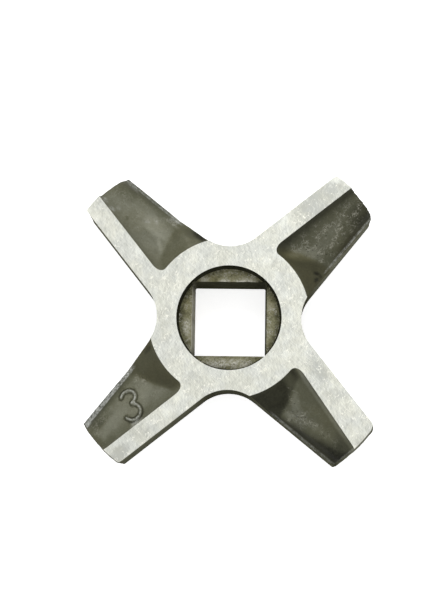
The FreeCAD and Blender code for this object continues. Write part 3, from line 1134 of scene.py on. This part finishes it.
@dataclass
class Casting:
    """The knife's casting, cut into a fine net so that its cast skin can be worked.

    Attributes:
        node: The CAD node that it stands for.
        wide_lands: The lands that aren't as wide as usual, at the ring and at the tip, in millimetres.
        recess_radius: The radius of the recess, in millimetres.
        recess_floor: The height of its floor, in millimetres.
        facing: How far up a face of a region has to face at least, or for the back at most.
        slack: How far a face may lie off its region's height and off the recess's radius, in millimetres.
        pitch: The net's spacing, in millimetres.
        wall_pitch: The spacing of its level cuts, in millimetres.
        snap: A point that lies this close to a cut isn't cut off, in millimetres.
        crease_angle: Edges that turn by more than this stay sharp, in degrees.
        tip_radius: The radius of the tips' end walls at the back, in millimetres.
        tip_bevel: How wide the worn bevel along the tip of an arm is, in millimetres.
        bevel_reach: How far inside the tip the bevel sets in and is full, in millimetres.
        softening: How many times the hollows' ridges are eased.
        rounding: How many more times the creases away from the lips are eased.
        lip_margin: How far from the wall those creases lie at least, in millimetres.
        blending: How many times the hollows' tones are blended.
        finishes: The finish of each region.
        skins_and_shading: The look of each arm's hollow, mostly its painted light and shade.
        fades: Where its tones set in.
        wall_shade: Tone added on the walls near the hub.
        wall_span: The radii where it sets in and is full, in millimetres.
        recess_shade: Tone added on the recess's floor along its wall.
        recess_span: How far inside the wall it sets in and is full, in millimetres.
        marks: The marks on each kind of surface of each arm, whose tones on the hollows, outer walls and
            square hole are mostly painted light and shade.
        number: The plain number on one arm.
        lumps: How many broad and how many fine lumps the uneven skin has in a millimetre.
        lump_shift: How far the fine lumps' pattern is moved, so that it differs from the broad one's.
        lump_depth: How deep each of the two sinks it at most, in millimetres.
    """

    node: str = "knife"
    wide_lands: dict[Corner, Pair] = field(default_factory=lambda: {Corner.LOWER_RIGHT: (2.9, 3.8)})
    recess_radius: float = 6.78
    recess_floor: float = 5.7
    facing: dict[Region, float] = field(
        default_factory=lambda: {
            Region.GROUND: 0.999,
            Region.BACK: -0.99,
            Region.RECESS: 0.95,
            Region.HOLLOW: 0.2,
        }
    )
    slack: Pair = (0.02, 0.05)
    pitch: float = 0.27
    wall_pitch: float = 0.45
    snap: float = 0.02
    crease_angle: float = 32.0
    tip_radius: float = 23.5
    tip_bevel: dict[Corner, float] = field(
        default_factory=lambda: {Corner.UPPER_RIGHT: 0.08, Corner.LOWER_LEFT: 0.17, Corner.LOWER_RIGHT: 0.30}
    )
    bevel_reach: Pair = (0.95, 0.15)
    softening: int = 4
    rounding: int = 16
    lip_margin: float = 1.0
    blending: int = 8
    finishes: dict[Region, Finish] = field(
        default_factory=lambda: {
            Region.GROUND: GroundSteel(),
            Region.HOLLOW: CastSkin("hollow_skin"),
            Region.WALL: CastSkin("outer_wall_skin", bias=0.10, grit=0.2, wear=0.0, metallic=0.0, sheen=0.0),
            Region.RECESS: CastSkin(
                "recess_floor_skin",
                deep=(0.03, 0.03, 0.01, 1.0),
                middle=(0.235, 0.228, 0.132, 1.0),
                pale=(0.47, 0.46, 0.37, 1.0),
                rubbed=(0.66, 0.65, 0.58, 1.0),
                worn=(0.60, 0.59, 0.52, 1.0),
                bias=-0.05,
                grit=0.75,
                mottle=3.8,
            ),
            # Painted shade, as well as oil, darkens the recess wall.
            Region.RECESS_WALL: CastSkin("recess_wall_skin", bias=-0.75, wear=0.0, metallic=0.0, sheen=0.0),
            Region.BORE: CastSkin(
                "square_hole_skin",
                pale=(0.66, 0.65, 0.54, 1.0),
                bias=-0.22,
                grit=0.1,
                wear=0.0,
                metallic=0.0,
                sheen=0.0,
            ),
            Region.BACK: CastSkin("back_skin", bias=0.1, grit=0.3),
        }
    )
    skins_and_shading: dict[Corner, ArmSkinAndShading] = field(default_factory=lambda: ARM_SKINS_AND_SHADING)
    fades: Fades = Fades()
    wall_shade: float = -0.5
    wall_span: Pair = (12.0, 10.0)
    recess_shade: float = -0.42
    recess_span: Pair = (1.1, 0.3)
    marks: dict[Region, dict[Corner, tuple[Patch, ...]]] = field(default_factory=lambda: MARKS_AND_SHADING)
    number: CastNumber = CastNumber()
    lumps: Pair = (0.5, 1.4)
    lump_shift: Triple = (7.0, 3.0, 1.0)
    lump_depth: float = 0.05

    def arm(self, place: Vector) -> Arm:
        """Find the arm whose quarter a point is in.

        Args:
            place: The point, in metres.

        Returns:
            The arm.
        """
        angle = math.degrees(math.atan2(place.y, place.x)) % 360.0
        corner = Corner(int(angle // 90.0) % 4)
        return Arm(corner, land=self.wide_lands.get(corner, Arm.land))

    def blank(self) -> Shell:
        """Copy the node's mesh as one closed shell with whole flat faces.

        Returns:
            The shell.
        """
        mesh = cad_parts[self.node].data.copy()
        worn = mesh.attributes.get("custom_normal")
        if worn:
            mesh.attributes.remove(worn)
        shell = bmesh.new()
        shell.from_mesh(mesh)
        bpy.data.meshes.remove(mesh)
        bmesh.ops.remove_doubles(shell, verts=shell.verts, dist=WELD)
        flat = dict(angle_limit=LEVEL, delimit={"NORMAL"})
        bmesh.ops.dissolve_limit(shell, verts=shell.verts, edges=shell.edges, **flat)
        for edge in shell.edges:
            edge.smooth = edge.calc_face_angle(0.0) < math.radians(self.crease_angle)
        for face in shell.faces:
            face.smooth = True
        return shell

    def slice(self, shell: Shell, faces: list[Face], axis: int, cuts: list[float]) -> None:
        """Cut faces at each of several planes, halving the run so that each cut only meets its own strip.

        Args:
            shell: The shell.
            faces: The faces to cut.
            axis: The axis that the planes stand square to.
            cuts: The planes' places on it, in order.
        """
        if not cuts or not faces:
            return
        middle = len(cuts) // 2
        normal = Vector((0.0, 0.0, 0.0))
        normal[axis] = 1.0
        edges = {edge for face in faces for edge in face.edges}
        verts = {vert for edge in edges for vert in edge.verts}
        cut = bmesh.ops.bisect_plane(
            shell,
            geom=[*verts, *edges, *faces],
            dist=self.snap * MM,
            plane_co=normal * cuts[middle],
            plane_no=normal,
        )
        sides: tuple[list, list] = ([], [])
        for item in cut["geom"]:
            if isinstance(item, Face):
                sides[item.calc_center_bounds()[axis] > cuts[middle]].append(item)
        self.slice(shell, sides[0], axis, cuts[:middle])
        self.slice(shell, sides[1], axis, cuts[middle + 1:])

    def net(self, shell: Shell) -> None:
        """Cut the whole shell into a fine net.

        Args:
            shell: The shell.
        """
        low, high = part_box(self.node)
        for axis, pitch in ((0, self.pitch), (1, self.pitch), (2, self.wall_pitch)):
            count = int((high[axis] - low[axis]) / (pitch * MM))
            step = (high[axis] - low[axis]) / (count + 1)
            cuts = [low[axis] + step * (index + 1) for index in range(count)]
            self.slice(shell, list(shell.faces), axis, cuts)

    def refine(self, shell: Shell) -> None:
        """Cut the net finer where the number stands.

        Args:
            shell: The shell.
        """
        number = self.number
        reach = number.half_width + number.margin
        close = set()
        for vert in shell.verts:
            arm = self.arm(vert.co)
            along, across, height = arm.local(vert.co)
            inside = arm.corner is number.corner and arm.landward(along, across) > number.gap
            if inside and height > number.lowest and number.distance(along, across) < reach:
                close.add(vert)
        edges = [edge for edge in shell.edges if edge.verts[0] in close and edge.verts[1] in close]
        bmesh.ops.subdivide_edges(shell, edges=edges, cuts=number.cuts, use_grid_fill=True)

    def region(self, face: Face) -> Region:
        """Tell which kind of surface a face is on.

        Args:
            face: A face of the shell.

        Returns:
            Its region.
        """
        middle, up = face.calc_center_median() / MM, face.normal.z
        below, beyond = self.slack
        if up > self.facing[Region.GROUND] and middle.z > Arm.thickness - below:
            return Region.GROUND
        if up < self.facing[Region.BACK]:
            return Region.BACK
        if math.hypot(middle.x, middle.y) < self.recess_radius + beyond:
            if middle.z < self.recess_floor - below:
                return Region.BORE
            return Region.RECESS if up > self.facing[Region.RECESS] else Region.RECESS_WALL
        return Region.HOLLOW if up > self.facing[Region.HOLLOW] else Region.WALL

    def build(self) -> bpy.types.Object:
        """Make the casting.

        Returns:
            The finished piece.
        """
        shell = self.blank()
        self.net(shell)
        self.refine(shell)
        shell.normal_update()
        regions = list(self.finishes)
        for face in shell.faces:
            face.material_index = regions.index(self.region(face))
        self.soften(shell, regions.index(Region.HOLLOW))
        self.weather(shell, regions)
        bmesh.ops.triangulate(shell, faces=shell.faces, quad_method="BEAUTY", ngon_method="BEAUTY")
        mesh = bpy.data.meshes.new("knife_casting")
        shell.to_mesh(mesh)
        shell.free()
        for finish in self.finishes.values():
            mesh.materials.append(finish.material())
        piece = bpy.data.objects.new("knife_casting", mesh)
        bpy.context.scene.collection.objects.link(piece)
        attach(piece, "root")
        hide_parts(self.node)
        return piece

    def soften(self, shell: Shell, hollow: int) -> None:
        """Ease the ridges and creases inside the hollows, and leave their borders as they are.

        Args:
            shell: The shell.
            hollow: The material index of the hollows.
        """
        touching = {vert: {face.material_index for face in vert.link_faces} for vert in shell.verts}
        inner = [vert for vert, indices in touching.items() if indices == {hollow}]
        away = [vert for vert in inner if self.inward(vert) > self.lip_margin]
        every_way = dict(use_axis_x=True, use_axis_y=True, use_axis_z=True)
        for verts, passes in ((inner, self.softening), (away, self.rounding)):
            for _ in range(passes):
                bmesh.ops.smooth_vert(shell, verts=verts, factor=0.5, **every_way)
        for vert in inner:
            for edge in vert.link_edges:
                edge.smooth = True
        shell.normal_update()

    def inward(self, vert: Vert) -> float:
        """Measure how far a point is from its arm's trailing wall, in millimetres."""
        arm = self.arm(vert.co)
        return arm.inward(*arm.local(vert.co))

    def weather(self, shell: Shell, regions: list[Region]) -> None:
        """Sink the skin unevenly, and give each point its tone, grit and wear.

        Args:
            shell: The shell.
            regions: The regions in the order of their material indices.
        """
        layers = {name: shell.verts.layers.float.new(name) for name in LAYERS}
        kinds = {vert: {regions[face.material_index] for face in vert.link_faces} for vert in shell.verts}
        for vert, meeting in kinds.items():
            for name, value in self.skin(vert, meeting).items():
                vert[layers[name]] = value
        self.blend([layers["tone"], layers["brown"], layers["grit"]], kinds)
        moves = []
        for vert, meeting in kinds.items():
            for name, value in self.marking_and_shading(vert, meeting).items():
                vert[layers[name]] += value
            lifted = vert.normal * (self.lift(vert, meeting) * MM)
            moves.append((vert, lifted + self.bevel(vert.co, meeting)))
        for vert, move in moves:
            vert.co += move
        shell.normal_update()

    def blend(self, layers: list, kinds: dict[Vert, set[Region]]) -> None:
        """Blend the hollows' tones between neighbouring points.

        Args:
            layers: The layers of numbers to blend.
            kinds: The regions that meet at each point.
        """
        spots = {vert for vert, meeting in kinds.items() if Region.HOLLOW in meeting}
        nearby = {vert: [edge.other_vert(vert) for edge in vert.link_edges] for vert in spots}
        nearby = {vert: [other for other in others if other in spots] for vert, others in nearby.items()}
        for _ in range(self.blending):
            for layer in layers:
                fresh = {
                    vert: (vert[layer] + sum(other[layer] for other in others)) / (1 + len(others))
                    for vert, others in nearby.items()
                }
                for vert, value in fresh.items():
                    vert[layer] = value

    def skin(self, vert: Vert, kinds: set[Region]) -> dict[str, float]:
        """Work out how a point's skin looks before its marks.

        Args:
            vert: The point.
            kinds: The regions that meet there.

        Returns:
            Its numbers by the names of their layers.
        """
        look = dict.fromkeys(LAYERS, 0.0)
        look["edge"] = CLEAR
        radius = math.hypot(vert.co.x, vert.co.y) / MM
        if Region.HOLLOW in kinds:
            look.update(self.hollow(vert))
        elif Region.WALL in kinds:
            look["tone"] = self.wall_shade * smoothstep(*self.wall_span, radius)
        elif Region.RECESS in kinds:
            start, full = self.recess_span
            share = smoothstep(self.recess_radius - start, self.recess_radius - full, radius)
            look["tone"] = self.recess_shade * share
        return look

    def hollow(self, vert: Vert) -> dict[str, float]:
        """Work out how a point of a hollow looks before its marks.

        Args:
            vert: The point.

        Returns:
            Its numbers by the names of their layers.
        """
        arm, fades = self.arm(vert.co), self.fades
        own = self.skins_and_shading[arm.corner]
        along, across, height = arm.local(vert.co)
        inward, landward = arm.inward(along, across, height), arm.landward(along, across)
        outward = Vector((vert.co.x, vert.co.y, 0.0)).normalized().dot(vert.normal)
        flank = smoothstep(*fades.flank, outward)
        floor = 1.0 - flank
        fall = smoothstep(*fades.fall, vert.normal.z) * smoothstep(*fades.fall_from_land, landward)
        # Painted light and shade of the hollow's facets: the ramp's and the flank's tones, the fall, the
        # land's foot and the gutter inside the lip; the flank is partly a stain too.
        tone = own.ramp + (own.flank - own.ramp) * flank
        tone += own.fall * fall * floor
        tone += own.foot * smoothstep(*fades.foot, landward) * floor
        tone += own.gutter * smoothstep(*fades.gutter, inward) * floor
        beyond = inward - own.line(along)
        # Painted light on the rim outside the lip's worn line, with a little wear.
        rim = own.rim * smoothstep(*fades.rim, beyond) * floor
        rough = smoothstep(*fades.grit_from_land, landward) * smoothstep(*fades.grit_from_wall, inward)
        # The lip's line shows worn metal with a painted highlight along it.
        return dict(
            tone=tone + rim,
            grit=own.grit * floor * rough,
            brown=own.brown * flank,
            wear=rim * fades.rim_wear,
            lip=own.lip * own.spread(along),
            edge=beyond / own.lip_width,
        )

    def marking_and_shading(self, vert: Vert, kinds: set[Region]) -> dict[str, float]:
        """Work out what the marks, and the painted light and shade of the hollows, add to a point's skin.

        Args:
            vert: The point.
            kinds: The regions that meet there.

        Returns:
            What is added, by the names of the layers.
        """
        arm = self.arm(vert.co)
        along, across, _ = arm.local(vert.co)
        added = dict(tone=0.0, grit=0.0, brown=0.0, wear=0.0, land=0.0)
        for region, arms in self.marks.items():
            for mark in arms.get(arm.corner, ()):
                share = mark.share(along, across)
                if region is Region.GROUND:
                    added["land"] += mark.tone * share
                elif region in kinds:
                    for name in ("tone", "grit", "brown", "wear"):
                        added[name] += getattr(mark, name) * share
        if Region.HOLLOW in kinds:
            # Painted light on the step down from the land.
            step = smoothstep(*self.fades.step, arm.landward(along, across))
            added["tone"] += self.skins_and_shading[arm.corner].step * step
            if arm.corner is self.number.corner:
                # The number: painted shade round its line, and wear with a painted highlight on its crest.
                tone, wear = self.number.look(along, across)
                added["tone"] += tone
                added["wear"] += wear
        return added

    def bevel(self, place: Vector, kinds: set[Region]) -> Vector:
        """Work out how far a point on top is drawn in at a tip, which leaves a bevel down to the end wall.

        Args:
            place: The point, in metres.
            kinds: The regions that meet there.

        Returns:
            The way that it moves, in metres.
        """
        if not kinds & {Region.GROUND, Region.HOLLOW}:
            return Vector()
        start, full = self.bevel_reach
        radius = math.hypot(place.x, place.y) / MM
        near = smoothstep(self.tip_radius - start, self.tip_radius - full, radius)
        width = self.tip_bevel.get(self.arm(place).corner, 0.0)
        return Vector((-place.x, -place.y, 0.0)).normalized() * (width * near * MM)

    def lift(self, vert: Vert, kinds: set[Region]) -> float:
        """Work out how far a point of the skin is moved out.

        Args:
            vert: The point.
            kinds: The regions that meet there.

        Returns:
            The way along its normal, in millimetres. It is below 0 where the point sinks.
        """
        if Region.GROUND in kinds or Region.BACK in kinds:
            return 0.0
        broad, fine = self.lumps
        place = vert.co / MM
        lumps = noise.noise(place * broad) + noise.noise(place * fine + Vector(self.lump_shift))
        sunk = self.lump_depth * (1.0 + 0.5 * lumps)
        arm = self.arm(vert.co)
        along, across, _ = arm.local(vert.co)
        if kinds == {Region.HOLLOW} and arm.corner is self.number.corner:
            return self.number.height(along, across) - sunk
        return -sunk


@dataclass
class PhotoCamera:
    """The camera, where the picture was taken from.

    Attributes:
        place: Its place, in millimetres.
        turn: Its turn about X, Y and Z, in degrees.
        focal_pixels: Its focal length, in pixels of a picture 448 wide.
        centre: Where its axis meets the picture, in pixels.
        picture: The picture's width and height, in pixels.
    """

    place: Triple = (3.69, -17.44, 160.74)
    turn: Triple = (8.17, 1.41, 0.83)
    focal_pixels: float = 1200.0
    centre: Pair = (226.26, 282.49)
    picture: tuple[int, int] = (448, 600)

    def build(self) -> bpy.types.Object:
        """Triple the camera and make it the scene's.

        Returns:
            The camera.
        """
        lens = bpy.data.cameras.new("photo_camera")
        width, height = self.picture
        lens.sensor_fit = "HORIZONTAL"
        lens.sensor_width = 36.0
        lens.lens = self.focal_pixels * lens.sensor_width / width
        lens.shift_x = (width / 2 - self.centre[0]) / width
        lens.shift_y = (self.centre[1] - height / 2) / width
        lens.clip_start = 0.01
        camera = bpy.data.objects.new("photo_camera", lens)
        camera.location = Vector(self.place) * MM
        camera.rotation_euler = Euler([math.radians(angle) for angle in self.turn], "XYZ")
        bpy.context.scene.collection.objects.link(camera)
        bpy.context.scene.camera = camera
        return camera


@dataclass(frozen=True)
class Softbox:
    """A square studio lamp that looks at the knife.

    Attributes:
        name: Its name.
        azimuth: The direction that it stands in, in degrees from +X towards +Y.
        elevation: How high it stands, in degrees.
        distance: How far away it is.
        size: Its side.
        power: Its power, in watts.
        reflected: Whether it shows in reflections. A lamp that doesn't only lights matt surfaces.
        lights: Whether it lights matt surfaces.
    """

    name: str
    azimuth: float
    elevation: float
    distance: float
    size: float
    power: float
    reflected: bool = False
    lights: bool = True

    def build(self) -> bpy.types.Object:
        """Triple the lamp.

        Returns:
            The lamp.
        """
        lamp = bpy.data.lights.new(self.name, "AREA")
        lamp.shape = "SQUARE"
        lamp.size = self.size
        lamp.energy = self.power
        box = bpy.data.objects.new(self.name, lamp)
        azimuth, elevation = math.radians(self.azimuth), math.radians(self.elevation)
        level = math.cos(elevation)
        ray = Vector((level * math.cos(azimuth), level * math.sin(azimuth), math.sin(elevation)))
        box.location = ray * self.distance
        box.rotation_euler = ray.to_track_quat("Z", "Y").to_euler()
        box.visible_glossy = self.reflected
        box.visible_diffuse = self.lights
        bpy.context.scene.collection.objects.link(box)
        return box


@dataclass
class Studio:
    """A plain white table under soft light.

    Attributes:
        half_size: Half the table's side.
        drop: How far the table lies under the knife's back, in millimetres.
        fill: The strength of the light from all round.
        grey: How light the table is.
        glow: How much it glows where it is looked at, so that it looks white.
        boxes: The lamps.
    """

    half_size: float = 1.5
    drop: float = 0.02
    fill: float = 0.65
    grey: float = 0.9
    glow: float = 0.72
    boxes: tuple[Softbox, ...] = (
        Softbox("key_softbox", 97.0, 40.0, 0.6, 0.5, 1.7),
        Softbox("side_softbox", 195.0, 38.0, 0.7, 0.4, 0.35),
        Softbox("sheen_softbox", 45.0, 55.0, 0.7, 0.4, 0.8, reflected=True, lights=False),
    )

    def build(self) -> bpy.types.Object:
        """Lay the table and hang the lamps.

        Returns:
            The table.
        """
        for box in self.boxes:
            box.build()
        self.surround()
        return self.table()

    def surround(self) -> None:
        """Set the light from all round, which looks white."""
        world = bpy.data.worlds.new("studio_surround")
        world.use_nodes = True
        bpy.context.scene.world = world
        graph = Graph(world.node_tree)
        background = graph.find("BACKGROUND")
        background.inputs["Color"].default_value = (1.0, 1.0, 1.0, 1.0)
        graph.feed(background.inputs["Strength"], graph.span(graph.looked_at(), 0.0, 1.0, self.fill, 1.0))

    def table(self) -> bpy.types.Object:
        """Lay the table, which looks white and keeps a soft shadow.

        Returns:
            The table.
        """
        board = bmesh.new()
        bmesh.ops.create_grid(board, x_segments=1, y_segments=1, size=self.half_size)
        bmesh.ops.translate(board, verts=board.verts, vec=Vector((0.0, 0.0, -self.drop * MM)))
        mesh = bpy.data.meshes.new("table_top")
        board.to_mesh(mesh)
        board.free()
        material = bpy.data.materials.new("white_table")
        material.use_nodes = True
        graph = Graph(material.node_tree)
        shader = graph.find("BSDF_PRINCIPLED")
        shader.inputs["Base Color"].default_value = (self.grey, self.grey, self.grey, 1.0)
        shader.inputs["Roughness"].default_value = 0.9
        shader.inputs["Emission Color"].default_value = (1.0, 1.0, 1.0, 1.0)
        graph.feed(shader.inputs["Emission Strength"], graph.math("MULTIPLY", graph.looked_at(), self.glow))
        mesh.materials.append(material)
        table = bpy.data.objects.new("table_top", mesh)
        bpy.context.scene.collection.objects.link(table)
        return table


def main() -> None:
    """Build the camera, the studio and the knife, and report each piece."""
    logging.basicConfig(level=logging.INFO, format="%(name)s: %(message)s")
    bpy.context.scene.view_settings.view_transform = "Standard"
    PhotoCamera().build()
    LOG.info("camera placed")
    Studio().build()
    LOG.info("table and lamps placed")
    casting = Casting().build()
    LOG.info("%s: %d faces", casting.name, len(casting.data.polygons))


if __name__ == "__main__":
    main()
